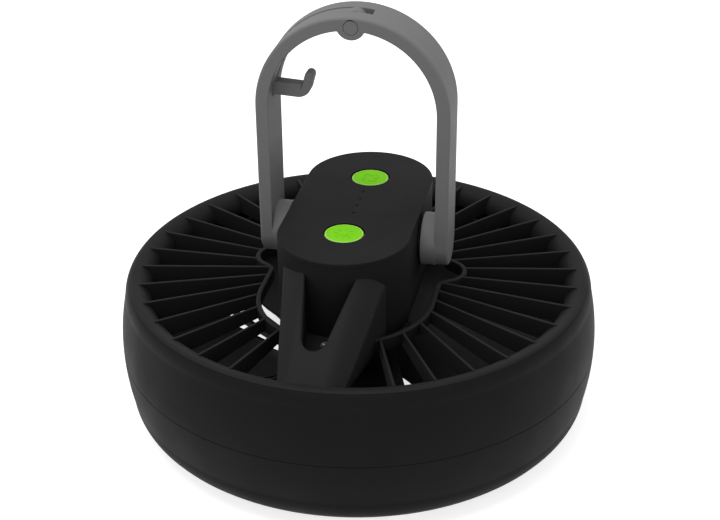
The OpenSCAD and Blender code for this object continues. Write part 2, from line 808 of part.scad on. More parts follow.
module led_board() {
    color("#eceff0") translate([0, 0, led_board_z]) cylinder(r = bowl_r - 3 - bowl_t, h = 2);
}

module led_chips() {
    color("#f3e9a8") round_posts(led_at, 0, leds) translate([-1.4, -1.4, led_board_z - 0.7])
        cube([2.8, 2.8, 0.7]);
}

module lamp_lens() {
    color([0.95, 0.95, 0.92, 0.9]) {
        translate([0, 0, lens_z]) cylinder(r = lens_r, h = foot_h + bar_h - lens_z);
        translate([0, 0, foot_h + bar_h - touch]) cylinder(r = bowl_r - 3 - bowl_t - fit, h = 1 + touch);
    }
}

module lamp_screws() {
    color("#8d9094") round_posts(lamp_screw_at, 0, 3) {
        translate([0, 0, foot_h + bar_h + bowl_t]) cylinder(r = 1.5, h = 1.3);
        translate([0, 0, foot_h + 0.6]) cylinder(r = 1, h = bar_h + bowl_t);
    }
}

// ---- Buttons ----

module button(y) {
    translate([0, y]) {
        translate([0, 0, lid_z - flange_gap - flange_h]) cylinder(r = flange_r, h = flange_h);
        translate([0, 0, lid_z - flange_gap - touch])
            cylinder(r = button_r, h = lid_t + flange_gap + button_proud + touch);
        translate([0, 0, stem_z])
            cylinder(r = 2.5, h = lid_z - flange_gap - flange_h - stem_z + touch);
    }
}

module fan_button() {
    color("#7bd01e") button(button_y);
}

module lamp_button() {
    color("#7bd01e") button(-button_y);
}

// ---- Impeller ----

// A blade is a swept, twisted and cambered plate. Its section at radius r runs round the
// circle from the trailing edge (s = 0) to the leading edge (s = 1), which lies higher.
blade_t = 1.8;
blade_mid_z = hub_z + blade_rise;
sections = 9;
chord_points = 12;
function mix(a, b, s) = a + (b - a) * s;
function blade_r(i) = mix(hub_r - 1.2, impeller_r, i / (sections - 1));
function blade_span(i) = mix(56, 61, i / (sections - 1));
function blade_sweep(i) = -38 * i / (sections - 1);
function blade_lift(i) = mix(6.5, 4.3, i / (sections - 1));
function blade_pt(i, s, side) =
    let (a = blade_sweep(i) + blade_span(i) * (s - 0.5),
        z = blade_lift(i) * (2 * s - 1) + 2.1 * sin(180 * s) + side * blade_t / 2)
        [blade_r(i) * cos(a), blade_r(i) * sin(a), z];

module blade() {
    n = chord_points;
    loop = 2 * n;
    points = [for (i = [0:sections - 1]) each concat(
        [for (j = [0:n - 1]) blade_pt(i, j / (n - 1), 1)],
        [for (j = [n - 1:-1:0]) blade_pt(i, j / (n - 1), -1)])];
    skin = [for (i = [0:sections - 2], j = [0:loop - 1]) let (k = (j + 1) % loop)
        each [[i * loop + j, i * loop + k, (i + 1) * loop + k],
            [i * loop + j, (i + 1) * loop + k, (i + 1) * loop + j]]];
    root = [for (j = [0:n - 2]) each [[j, loop - 1 - j, loop - 2 - j], [j, loop - 2 - j, j + 1]]];
    last = (sections - 1) * loop;
    tip = [for (j = [0:n - 2]) each [[last + j, last + loop - 2 - j, last + loop - 1 - j],
        [last + j, last + j + 1, last + loop - 2 - j]]];
    polyhedron(points, concat(skin, root, tip));
}

module impeller() {
    color("#55575a") difference() {
        union() {
            difference() {
                translate([0, 0, hub_z]) cylinder(r = hub_r, h = hub_h);
                translate([0, 0, hub_z + hub_web_t]) cylinder(r = hub_r - hub_wall, h = hub_h);
            }
            translate([0, 0, hub_z]) cylinder(r = boss_r, h = hub_boss_z - hub_z);
            for (i = [0:blades - 1]) rotate(blade_start + i * 360 / blades)
                translate([0, 0, blade_mid_z]) blade();
        }
        cylinder(r = shaft_r, h = casing_h);
    }
}

module motor_shaft() {
    color("#c4c7ca") translate([0, 0, shaft_low_z])
        cylinder(r = shaft_r, h = bracket_z - 1 - shaft_low_z);
}

module motor_rotor() {
    color("#a9683c") difference() {
        translate([0, 0, motor_z + bush_h]) cylinder(r = rotor_r, h = motor_h - can_top_t - bush_h - 3);
        translate([0, 0, motor_z]) cylinder(r = shaft_r, h = motor_h);
    }
}

module impeller_nut() {
    color("#b9bcc0") difference() {
        translate([0, 0, hub_z - nut_h]) cylinder(r = 3.2, h = nut_h, $fn = 6);
        cylinder(r = shaft_r, h = hub_z + 1);
    }
}

// ---- Bail ----

module bail_outline() {
    difference() {
        union() {
            translate([0, arch_z]) circle(bail_out);
            translate([-bail_out, pivot_z]) square([2 * bail_out, leg_h]);
        }
        translate([0, arch_z]) circle(arch_r);
        translate([-arch_r, pivot_z - 1]) square([2 * arch_r, leg_h + 1]);
    }
}

module bail() {
    color("#6b6b6b") difference() {
        union() {
            rotate([90, 0, 0]) linear_extrude(strap_w, center = true) {
                bail_outline();
                intersection() {
                    translate([0, hook_pin_z + 1]) circle(hook_cheek_r);
                    translate([0, arch_z]) circle(bail_out);
                }
            }
            both_ends() translate([0, 0, pivot_z]) along_x() {
                translate([0, 0, disc_x]) cylinder(r = bail_end_r, h = disc_t);
                translate([0, 0, arch_r - touch]) cylinder(r = strap_w / 2, h = strap_t + touch);
            }
        }
        // Slot that the hook lies in
        translate([-bail_out - 1, -hook_slot_w / 2, hook_foot_z - body_gap])
            cube([bail_out + 1 + hook_eye_r + 2.9, hook_slot_w, bail_out]);
        both_ends() translate([0, 0, pivot_z]) along_x() cylinder(r = pivot_r, h = disc_x + pivot_depth);
        translate([0, 0, hook_pin_z]) along_y() {
            cylinder(r = hook_pin_r, h = strap_w + 2, center = true);
            for (s = [-1, 1]) translate([0, 0, s * strap_w / 2]) cylinder(r = 3.1, h = 2.4, center = true);
        }
    }
}

module pivot_screws() {
    color("#8d9094") both_ends() translate([0, 0, pivot_z]) along_x() {
        translate([0, 0, pivot_seat_x - washer_t - pivot_head_t - fit])
            cylinder(r = 4.6, h = pivot_head_t);
        translate([0, 0, pivot_seat_x - washer_t - fit - touch])
            cylinder(r = pivot_r, h = disc_x + pivot_depth - pivot_seat_x + washer_t + fit - 0.4);
    }
}

module pivot_washers() {
    color("#d0d0cc") both_ends() translate([0, 0, pivot_z]) along_x()
        translate([0, 0, pivot_seat_x - washer_t - fit]) difference() {
            cylinder(r = 5.6, h = washer_t);
            translate([0, 0, -1]) cylinder(r = pivot_r, h = washer_t + 2);
        }
}

module hook_pin() {
    color("#5f5f5f") translate([0, 0, hook_pin_z]) along_y() {
        cylinder(r = hook_pin_r, h = strap_w - 1, center = true);
        for (s = [-1, 1]) translate([0, 0, s * (strap_w / 2 - 0.6)]) cylinder(r = 3, h = 1.1, center = true);
    }
}

module hook_outline() {
    curl_z = hook_foot_z + hook_curl_r;
    curl_in = hook_curl_r - hook_tip_t;
    tip_mid = hook_curl_r - hook_tip_t / 2;
    straight_h = (hook_tip_h - hook_curl_r - hook_tip_t / 2 + tip_mid * sin(hook_lean)) / cos(hook_lean);
    wedge = 2 * hook_curl_r;
    translate([0, hook_pin_z]) circle(hook_eye_r);
    intersection() {
        translate([0, arch_z]) difference() {
            circle(hook_arm_out);
            circle(hook_arm_in);
        }
        translate([-bail_out, hook_foot_z]) square([bail_out, bail_out]);
    }
    // Bar that leaves the leg, curls upwards and ends in a round tip that leans out
    polygon([[-hook_arm_in - 1, hook_foot_z + hook_dip], [hook_curl_x, hook_foot_z],
        [hook_curl_x + curl_in, hook_foot_z + hook_bend_h], [-hook_arm_in - 1, hook_foot_z + hook_bar_h]]);
    translate([hook_curl_x, curl_z]) {
        intersection() {
            difference() {
                circle(hook_curl_r);
                circle(curl_in);
            }
            polygon([[0, 0], [0, -wedge], [wedge, -wedge],
                [wedge * cos(hook_lean), -wedge * sin(hook_lean)]]);
        }
        rotate(-hook_lean) {
            translate([curl_in, -touch]) square([hook_tip_t, straight_h + touch]);
            translate([tip_mid, straight_h]) circle(hook_tip_t / 2);
        }
    }
}

module hook() {
    color("#6f6f6f") difference() {
        rotate([90, 0, 0]) linear_extrude(hook_w, center = true) hook_outline();
        translate([0, 0, hook_pin_z]) along_y()
            cylinder(r = hook_pin_r + run_fit, h = hook_w + 2, center = true);
    }
}

outlet_grille();
foot_pads();
lower_shell();
air_duct();
upper_shell();
intake_grille();
casing_screws();
motor_bracket();
strut_screws();
pod_housing();
pod_lid();
pod_screws();
control_board();
tact_switches();
charge_lights();
usb_port();
battery_tray();
battery_cells();
cell_contacts();
motor_can();
motor_end_plate();
motor_magnets();
motor_bushes();
motor_screws();
lamp_bowl();
led_board();
led_chips();
lamp_lens();
lamp_screws();
fan_button();
lamp_button();
impeller();
motor_shaft();
motor_rotor();
impeller_nut();
bail();
pivot_screws();
pivot_washers();
hook_pin();
hook();
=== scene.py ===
import math

import bmesh
import bpy
from mathutils import Matrix, Quaternion, Vector


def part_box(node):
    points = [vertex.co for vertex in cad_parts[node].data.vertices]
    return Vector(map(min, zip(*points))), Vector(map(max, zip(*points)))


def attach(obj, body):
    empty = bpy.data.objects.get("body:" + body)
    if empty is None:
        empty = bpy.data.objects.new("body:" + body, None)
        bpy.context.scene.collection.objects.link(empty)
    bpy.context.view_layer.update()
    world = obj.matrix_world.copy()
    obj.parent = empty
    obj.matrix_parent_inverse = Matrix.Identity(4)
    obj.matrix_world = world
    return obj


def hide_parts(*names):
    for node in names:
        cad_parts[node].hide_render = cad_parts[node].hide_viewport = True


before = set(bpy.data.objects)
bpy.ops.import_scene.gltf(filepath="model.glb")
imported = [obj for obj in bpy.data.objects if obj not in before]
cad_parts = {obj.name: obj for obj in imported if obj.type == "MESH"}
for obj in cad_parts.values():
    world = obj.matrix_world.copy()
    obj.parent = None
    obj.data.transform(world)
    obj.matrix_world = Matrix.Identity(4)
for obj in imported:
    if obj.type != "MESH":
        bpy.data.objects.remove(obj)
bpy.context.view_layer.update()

MM = 0.001


def in_scene(name, data):
    """A new object in the scene that holds a mesh, a lamp or the camera."""
    made = bpy.data.objects.new(name, data)
    bpy.context.scene.collection.objects.link(made)
    return made


# ---- Camera, at the photograph's place ----

CAMERA_AIM = Vector((0.76, 0.32, 70.91)) * MM
CAMERA_AWAY = 644.95 * MM
CAMERA_TURN = math.radians(11.932)
CAMERA_RISE = math.radians(28.548)
CAMERA_ROLL = math.radians(-0.49)

camera_data = bpy.data.cameras.new("photo_camera")
camera_data.sensor_width = 36
camera_data.lens = 73.18
camera_data.clip_start = 0.05
camera_data.clip_end = 50
camera = in_scene("photo_camera", camera_data)
away = Vector((math.sin(CAMERA_TURN) * math.cos(CAMERA_RISE),
               -math.cos(CAMERA_TURN) * math.cos(CAMERA_RISE), math.sin(CAMERA_RISE)))
camera.location = CAMERA_AIM + away * CAMERA_AWAY
camera.rotation_mode = "QUATERNION"
camera.rotation_quaternion = ((-away).to_track_quat("-Z", "Y")
                              @ Quaternion((0, 0, 1), CAMERA_ROLL))
bpy.context.scene.camera = camera


# ---- Sizes, in millimetres and degrees ----
# They are the CAD model's, apart from a few that are given here: the bell mouth's ease, the roll
# of the struts' flanks and the slot's left corner, and the buttons' radius and top.

BODY_R, BULGE_R, BELLY_Z = 105.2, 96.4, 38
CORNER_Z, BASE_R, FOOT_H = 16, 84, 1.2
CASING_H, WALL = 67.8, 2.2
BASE_SEAM_Z, BELLY_SEAM_Z, RIM_SEAM_Z = 9, 36.2, 67
SHOULDER_Z, ROUND_W, ROUND_H = 60.8, 3.6, 7
# The belly seam's tongue and groove, and the posts of the casing's long screws
TONGUE_T, TONGUE_TOP_Z, GROOVE_T, GROOVE_H, RIM_INSIDE_Z = 1.1, 38.2, 1.2, 2.3, 65.2
POSTS, POST_AT, POST_R, POST_TURN, POST_LOW_Z, POST_TOP_Z = 6, 95.1, 3, 30, 14, 56.8
# Bell mouth, fins and inner ring
MOUTH_W, MOUTH_H, MOUTH_EASE, MOUTH_WALL, RIM_STEP = 8, 8, 0.95, 1.9, 0.2
FIN_PLACES, FIN_TOP_Z, FIN_H, FIN_T = 36, 67.5, 8.5, 1.25
FIN_SINK, FIN_END_IN, FIN_END_H = 0.6, 2.8, 1
RING_H, RING_T, RING_GAP, RING_END_IN = 5.5, 2.2, 8, 1
LOBE_R, LOBE_X, LOBE_Y, ARM_GAP = 11, 36.8, 4.5, 12.6
# Pod, with its lid's skirt, its posts and the charge lights
POD_R, POD_HALF, POD_Z, LID_Z, POD_TOP_Z, FLOOR_T = 28, 27.35, 61.8, 96.6, 98.6, 2.5
SKIRT_IN, SKIRT_LOW, SKIRT_HIGH = 2.1, 3.6, 2.2
POD_POST_X, POD_POST_OUT, POD_POST_R = 8.5, 16, 3.2
LIGHTS, LIGHT_STEP, LIGHT_MID_Y, LIGHT_R = 4, 7, 2, 0.65
# Struts. Each flank's crest and fall are given at the pod and at the rim
STRUT_FOOT, STRUT_POD_W, STRUT_RIM_W, STRUT_RISE = 5.5, 22, 12.8, 24.2
SLOPE_X, STRUT_SINK, POD_SINK, STRUT_ROUND = 11.5, 2, 0.6, 0.9
LEFT_CREST, LEFT_FALL, LEFT_BEND = (11.5, 8), (6.8, 2.5), 1.4
RIGHT_CREST, RIGHT_FALL, RIGHT_BEND = (10.5, 5.5), (9, 5.2), 1.9
SLOT_LEFT, SLOT_RIGHT, SLOT_START_Y = 10.8, 10.1, 53
SLOT_END_R, SLOT_END_Y, SLOT_X = 5, 76.87, 1.4
CORNER_OUT, CORNER_IN, CORNER_BEND_R, STRAIGHT_SHARE = 0.4, 1, 3, 0.72
# Buttons, with the flange and the stem under each
BUTTON_HOLE_R, BUTTON_R, BUTTON_Y, BUTTON_TOP_Z, BUTTON_ROUND = 8.7, 8.15, 27.6, 98.6, 0.35
FLANGE_OUT, FLANGE_H, STEM_R, STEM_H = 1.1, 1.4, 2.5, 3.7
# Fan wheel. A blade's sweep, span, lift and camber are at its hub, and the next two are what its
# span gains and its lift loses on the way to its tip
HUB_R, HUB_Z, HUB_H, BORE_R, SLEEVE_R, SLEEVE_TOP_Z = 23, 18, 24, 1.5, 5, 31.8
BLADES, BLADE_START, BLADE_MID_Z, BLADE_SINK, BLADE_T = 5, 4, 25.7, 1.2, 1.8
BLADE_SWEEP, BLADE_SPAN, BLADE_LIFT, BLADE_CAMBER = 38, 56, 6.5, 2.1
SPAN_GAIN, LIFT_LOSS = 5, 2.2
# Bail and lamp lens
BAIL_OUT, BAIL_HALF_W, ARCH_Z, PIVOT_Z = 41, 11, 145.1, 85.1
LENS_R, LENS_Z, LENS_LIP_R, LENS_LIP_Z, LENS_TOP_Z = 15.8, 1.6, 14.7, 4.2, 5.2

# Faces round the casing, and the rounding of the edges at its seams
ROUND_STEPS, SEAM_ROUND = 256, 0.35


def side_x(z):
    """Radius of the side wall at a height."""
    return BODY_R - (BULGE_R - math.sqrt(BULGE_R ** 2 - (z - BELLY_Z) ** 2))


CREST_R = side_x(SHOULDER_Z) - ROUND_W
MOUTH_R = CREST_R - MOUTH_W
FOOT_R = CREST_R - STRUT_FOOT


def corner_point(turn, inset=0):
    return (BASE_R + (side_x(CORNER_Z) - BASE_R - inset) * math.sin(turn),
            CORNER_Z - (CORNER_Z - FOOT_H - inset) * math.cos(turn))


def rim_point(turn, inset=0):
    return (CREST_R + (side_x(SHOULDER_Z) - CREST_R - inset) * math.cos(turn),
            SHOULDER_Z + (ROUND_H - inset) * math.sin(turn))


def spread(a, b, count):
    """Evenly spaced numbers from a to b, with both ends."""
    return [a + (b - a) * i / count for i in range(count + 1)]


def corner_arc(low, high, inset=0, count=12):
    """The rounded bottom corner between two heights, as (radius, height)."""
    turns = [math.acos(max(-1, min(1, (CORNER_Z - z) / (CORNER_Z - FOOT_H - inset))))
             for z in (low, high)]
    return [corner_point(t, inset) for t in spread(*turns, count)]


def side_arc(low, high, inset=0, count=16):
    """The bulging side wall between two heights."""
    return [(side_x(z) - inset, z) for z in spread(low, high, count)]


def rim_arc(low, high, inset=0, count=10):
    """The rim's rounded shoulder between two heights."""
    turns = [math.asin(max(-1, min(1, (z - SHOULDER_Z) / (ROUND_H - inset))))
             for z in (low, high)]
    return [rim_point(t, inset) for t in spread(*turns, count)]


# ---- Materials ----

def linear(colour):
    """A hex colour as sRGB shows it, turned to the linear values that a shader takes."""
    parts = [int(colour[i:i + 2], 16) / 255 for i in (1, 3, 5)]
    return [p / 12.92 if p <= 0.04045 else ((p + 0.055) / 1.055) ** 2.4 for p in parts] + [1]


def add(tree, kind, inputs=(), **settings):
    """A new node with its settings, and its inputs either set or linked."""
    node = tree.nodes.new(kind)
    for name, value in settings.items():
        setattr(node, name, value)
    for name, value in dict(inputs).items():
        if isinstance(value, bpy.types.NodeSocket):
            tree.links.new(value, node.inputs[name])
        else:
            node.inputs[name].default_value = value
    return node


def new_material(name, **shader_inputs):
    """A material with its shader, and the object's own coordinates."""
    material = bpy.data.materials.new(name)
    material.use_nodes = True
    tree = material.node_tree
    tree.nodes.clear()
    place = add(tree, "ShaderNodeTexCoord").outputs["Object"]
    inputs = {key.replace("_", " "): value for key, value in shader_inputs.items()}
    shader = add(tree, "ShaderNodeBsdfPrincipled", inputs)
    add(tree, "ShaderNodeOutputMaterial", {"Surface": shader.outputs[0]})
    return material, tree, shader, place


def moulded(name, light, dark, roughness, grain, depth, level=0.5, spread_mm=18):
    """Injection-moulded plastic from a spark-eroded mould: a fine even grain that breaks up the
    gloss, over a colour and a gloss that drift a little across the part."""
    material, tree, shader, place = new_material(name, Specular_IOR_Level=level, IOR=1.5)
    drift = add(tree, "ShaderNodeTexNoise", {"Vector": place, "Scale": 1 / (spread_mm * MM),
                                              "Detail": 3})
    tone = add(tree, "ShaderNodeMix", {"Factor": drift.outputs["Fac"], "A": linear(dark),
                                        "B": linear(light)}, data_type="RGBA")
    tree.links.new(tone.outputs[2], shader.inputs["Base Color"])
    gloss = add(tree, "ShaderNodeMapRange", {"Value": drift.outputs["Fac"], "From Min": 0.3,
                                              "From Max": 0.7, "To Min": roughness - 0.04,
                                              "To Max": roughness + 0.05})
    tree.links.new(gloss.outputs[0], shader.inputs["Roughness"])
    pits = add(tree, "ShaderNodeTexNoise", {"Vector": place, "Scale": 1 / (grain * MM), "Detail": 2,
                                             "Roughness": 0.6})
    bump = add(tree, "ShaderNodeBump", {"Height": pits.outputs["Fac"], "Distance": depth * MM,
                                         "Strength": 0.6})
    tree.links.new(bump.outputs[0], shader.inputs["Normal"])
    return material


def metal(name, light, dark, roughness, grain, stretch=(1, 1, 1)):
    """Bare or plated metal, with fine marks of how it was worked that spread its highlights."""
    material, tree, shader, place = new_material(name, Metallic=1)
    lie = add(tree, "ShaderNodeMapping", {"Vector": place, "Scale": stretch})
    marks = add(tree, "ShaderNodeTexNoise", {"Vector": lie.outputs[0], "Scale": 1 / (grain * MM),
                                              "Detail": 4})
    tone = add(tree, "ShaderNodeMix", {"Factor": marks.outputs["Fac"], "A": linear(dark),
                                        "B": linear(light)}, data_type="RGBA")
    tree.links.new(tone.outputs[2], shader.inputs["Base Color"])
    gloss = add(tree, "ShaderNodeMapRange", {"Value": marks.outputs["Fac"],
                                              "To Min": roughness - 0.08,
                                              "To Max": roughness + 0.1})
    tree.links.new(gloss.outputs[0], shader.inputs["Roughness"])
    bump = add(tree, "ShaderNodeBump", {"Height": marks.outputs["Fac"], "Distance": 0.02 * MM,
                                         "Strength": 0.5})
    tree.links.new(bump.outputs[0], shader.inputs["Normal"])
    return material


def paint_rim_highlight(material, colour, start, end):
    """Paints a highlight on the buttons: paler towards their rims, between two distances from their
    middles, where light catches the rounded edge.
    """
    tree = material.node_tree
    shader = tree.nodes["Principled BSDF"]
    base = shader.inputs["Base Color"].links[0].from_socket
    place = add(tree, "ShaderNodeTexCoord").outputs["Object"]
    flat = add(tree, "ShaderNodeVectorMath", {0: place, 1: (1, 1, 0)}, operation="MULTIPLY")
    one_side = add(tree, "ShaderNodeVectorMath", {0: flat.outputs[0]}, operation="ABSOLUTE")
    off = add(tree, "ShaderNodeVectorMath", {0: one_side.outputs[0], 1: (0, BUTTON_Y * MM, 0)},
              operation="DISTANCE")
    rim = add(tree, "ShaderNodeMapRange", {"Value": off.outputs["Value"],
                                            "From Min": start * MM, "From Max": end * MM})
    # Painted highlight: the paler colour is mixed in near the rounded rim
    painted_rim_highlight = add(tree, "ShaderNodeMix", {"Factor": rim.outputs[0], "A": base, "B": linear(colour)},
               data_type="RGBA")
    tree.links.new(painted_rim_highlight.outputs[2], shader.inputs["Base Color"])


# The casing's black ABS is satin from its eroded mould: near black, and lighter only where it
# turns away from the eye. The grain is drawn at 0.7 mm, which is coarser than the real 0.1 mm.
shell_abs = moulded("black_abs_spark_eroded", "#161617", "#121213", 0.58, 0.7, 0.03, 0.08)
# The grille's ABS is the same batch as the casing's and a little duller; its colour is painted
# lighter to offset the shade that the pod and the struts' tilt put on it
grille_abs_painted_lighter = moulded("black_abs_grille_moulded", "#1e1e1f", "#1b1b1d", 0.6, 0.7, 0.03, 0.1)
# The pod's ABS is about as dark as the casing's, but duller, with a finer and shallower grain
pod_abs = moulded("black_abs_pod_moulded", "#171718", "#141415", 0.64, 0.6, 0.025, 0.1)
# The bail is glass-filled nylon, mid grey and dull, with a faint cloud of fibres at the surface
bail_nylon = moulded("grey_nylon_glass_filled_moulded", "#787878", "#727272", 0.62, 0.8, 0.03,
                     0.2, 9)
# The fan wheel is black ABS, polished a little smoother than the grille over it
fan_abs = moulded("black_abs_fan_wheel_moulded", "#141415", "#101011", 0.5, 1.0, 0.02, 0.2, 14)
# The buttons are soft-touch silicone, a strong yellowish green that keeps its colour in the light
button_silicone = moulded("green_silicone_pressed", "#82dc11", "#7ad20b", 0.6, 0.6, 0.03, 0.15, 4)
# A painted highlight makes them paler from 7.4 mm to 7.8 mm from their middles, near the rounded
# rim, where light catches it
paint_rim_highlight(button_silicone, "#aee66c", 7.4, 7.8)
# Inner mouldings that are seldom seen: plain ABS, a little glossier than the outside
inner_abs = moulded("dark_abs_inner_moulded", "#161617", "#121213", 0.5, 1.2, 0.02, 0.2)
# White ABS of the lamp's bowl, which throws the light back
white_abs = moulded("white_abs_lamp_bowl_moulded", "#e9e9e6", "#e1e1dd", 0.45, 1.0, 0.02, 0.5, 10)
# Feet of moulded rubber, dull and slightly dusty
foot_rubber = moulded("black_rubber_moulded", "#1d1d1d", "#151515", 0.8, 0.5, 0.05, 0.3, 3)
# Zinc-plated steel of the screws, grey with a faint drift in the plating
zinc_steel = metal("zinc_plated_steel_turned", "#c9ccd0", "#a4a8ad", 0.3, 0.8)
# Drawn steel of the motor's can and the shaft, with marks that run round it
can_steel = metal("drawn_steel_motor_can", "#b4b7ba", "#989b9f", 0.35, 0.7, (1, 1, 6))
# Sintered bronze of the bushes: brownish, with open pores
bush_bronze = metal("sintered_bronze_bush", "#a9813f", "#7d5c2b", 0.5, 0.3)
# Copper of the rotor's winding, with the amber of its enamel
winding_copper = metal("enamelled_copper_winding", "#b86a38", "#8a4620", 0.35, 0.5, (1, 1, 8))
# Ferrite of the motor's magnets: dark, brownish and matt, with a broken grain
ferrite = moulded("ferrite_magnet_sintered", "#4a4541", "#3a3632", 0.7, 0.5, 0.06, 0.4, 2)
# Solder mask over glass board: deep green with a smooth gloss
board_mask = moulded("green_solder_mask_board", "#1f5f38", "#17492b", 0.3, 1.5, 0.01, 0.5, 5)
# White solder mask of the lamp's board
white_mask = moulded("white_solder_mask_board", "#eef0ee", "#e2e4e1", 0.35, 1.5, 0.01, 0.5, 5)
# Shrink sleeve of the cells: glossy blue film drawn tight
cell_sleeve = moulded("blue_shrink_sleeve_film", "#2f6fb0", "#285f99", 0.25, 2.5, 0.03, 0.5, 12)
# Black nylon of the switches
switch_nylon = moulded("black_nylon_switch_moulded", "#333333", "#2a2a2a", 0.45, 0.4, 0.01, 0.4, 2)
# The charge lights are unlit pins of smoked polycarbonate, so they look darker than the lid
light_pc = moulded("smoked_polycarbonate_light_pin", "#070707", "#040404", 0.7, 0.5, 0.005, 0.05, 2)
# Phosphor over the chips of the lamp: pale yellow, soft and slightly domed
led_phosphor = moulded("yellow_led_phosphor_cast", "#efe08c", "#e2cd6d", 0.35, 0.5, 0.02, 0.5, 1.5)


def frosted_lens():
    """Frosted polycarbonate: light passes, but a fine etched grain spreads it, so that only a
    soft shape of what lies behind shows."""
    material, tree, shader, place = new_material("frosted_polycarbonate_lens",
                                                  Transmission_Weight=0.55, IOR=1.585)
    etch = add(tree, "ShaderNodeTexNoise", {"Vector": place, "Scale": 1 / (0.5 * MM), "Detail": 3})
    tone = add(tree, "ShaderNodeMix", {"Factor": etch.outputs["Fac"], "A": linear("#dcdcd6"),
                                        "B": linear("#f0f0ec")}, data_type="RGBA")
    tree.links.new(tone.outputs[2], shader.inputs["Base Color"])
    gloss = add(tree, "ShaderNodeMapRange", {"Value": etch.outputs["Fac"], "To Min": 0.4,
                                              "To Max": 0.6})
    tree.links.new(gloss.outputs[0], shader.inputs["Roughness"])
    bump = add(tree, "ShaderNodeBump", {"Height": etch.outputs["Fac"], "Distance": 0.05 * MM})
    tree.links.new(bump.outputs[0], shader.inputs["Normal"])
    return material


lens_pc = frosted_lens()


# ---- Ways to make and finish a piece ----

def soften(bm, width, segments=3, angle=35, keep=None):
    """Rounds every edge that is sharper than the angle, or those of them that keep() picks."""
    sharp = [e for e in bm.edges if len(e.link_faces) == 2
             and e.calc_face_angle() > math.radians(angle) and (keep is None or keep(e))]
    if sharp:
        bmesh.ops.bevel(bm, geom=sharp, offset=width * MM, offset_type="OFFSET", segments=segments,
                        affect="EDGES", profile=0.5, material=-1, clamp_overlap=False)


def piece(bm, name, body, nodes, material, smooth=32):
    """The mesh as a named piece that rides on its body and stands for its CAD nodes."""
    mesh = bpy.data.meshes.new(name)
    bm.to_mesh(mesh)
    bm.free()
    mesh.polygons.foreach_set("use_smooth", [True] * len(mesh.polygons))
    mesh.set_sharp_from_angle(angle=math.radians(smooth))
    mesh.materials.append(material)
    made = in_scene(name, mesh)
    even = made.modifiers.new("even_shading", "WEIGHTED_NORMAL")
    even.keep_sharp = True
    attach(made, body)
    if nodes:
        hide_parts(*nodes)
    return made


def turned(profile, steps=192, bm=None):
    """A closed profile of (radius, height), turned once round the axis."""
    bm = bm or bmesh.new()
    before = set(bm.faces)
    verts = [bm.verts.new((r * MM, 0, z * MM)) for r, z in profile]
    edges = [bm.edges.new(pair) for pair in zip(verts, verts[1:] + verts[:1])]
    bmesh.ops.spin(bm, geom=verts + edges, cent=(0, 0, 0), axis=(0, 0, 1), dvec=(0, 0, 0),
                   angle=2 * math.pi, steps=steps, use_merge=True, use_duplicate=False)
    bmesh.ops.remove_doubles(bm, verts=bm.verts, dist=1e-7)
    bmesh.ops.recalc_face_normals(bm, faces=[f for f in bm.faces if f not in before])
    return bm


def prism(outline, low, high, bm=None):
    """A flat outline in plan, raised from one height to another."""
    bm = bm or bmesh.new()
    face = bm.faces.new([bm.verts.new((x * MM, y * MM, low * MM)) for x, y in outline])
    raised = bmesh.ops.extrude_face_region(bm, geom=[face])
    top = [v for v in raised["geom"] if isinstance(v, bmesh.types.BMVert)]
    bmesh.ops.translate(bm, verts=top, vec=(0, 0, (high - low) * MM))
    shell = set(f for v in top for f in v.link_faces) | {face}
    bmesh.ops.recalc_face_normals(bm, faces=list(shell))
    return bm


def peg(bm, x, y, low, high, radius, sides=32):
    """A round post in a piece."""
    bmesh.ops.create_cone(bm, cap_ends=True, segments=sides, radius1=radius * MM,
                          radius2=radius * MM, depth=(high - low) * MM,
                          matrix=Matrix.Translation(Vector((x, y, (low + high) / 2)) * MM))


def cad_copy(node, width, segments=2, angle=35):
    """A copy of a CAD node with its triangles joined into whole faces and its edges rounded."""
    bm = bmesh.new()
    bm.from_mesh(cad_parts[node].data)
    bmesh.ops.remove_doubles(bm, verts=bm.verts, dist=2e-6)
    bmesh.ops.dissolve_limit(bm, angle_limit=math.radians(0.5), verts=bm.verts, edges=bm.edges)
    if width:
        soften(bm, width, segments, angle)
    return bm


def ring_of(count, radius, turn=0):
    """Places round the axis, as (x, y)."""
    return [(radius * math.cos(math.radians(turn + i * 360 / count)),
             radius * math.sin(math.radians(turn + i * 360 / count))) for i in range(count)]


def arc(x, y, radius, start, end, count):
    """Points of an arc from one angle to another, in degrees."""
    return [(x + radius * math.cos(math.radians(t)), y + radius * math.sin(math.radians(t)))
            for t in spread(start, end, count)]


# ---- Casing ----

TONGUE_R = side_x(BELLY_SEAM_Z) - WALL
bm = turned(corner_arc(BASE_SEAM_Z, CORNER_Z) + side_arc(CORNER_Z + 1.5, BELLY_SEAM_Z)
            + [(TONGUE_R + TONGUE_T, BELLY_SEAM_Z), (TONGUE_R + TONGUE_T, TONGUE_TOP_Z),
               (TONGUE_R, TONGUE_TOP_Z)]
            + side_arc(CORNER_Z + 1.5, BELLY_SEAM_Z - 1, WALL)[::-1]
            + corner_arc(BASE_SEAM_Z, CORNER_Z, WALL)[::-1], ROUND_STEPS)
soften(bm, SEAM_ROUND, 3, 50)
for x, y in ring_of(POSTS, POST_AT, POST_TURN):
    peg(bm, x, y, POST_LOW_Z, BELLY_SEAM_Z, POST_R)
piece(bm, "side_wall_lower", "casing", ["lower_shell"], shell_abs)

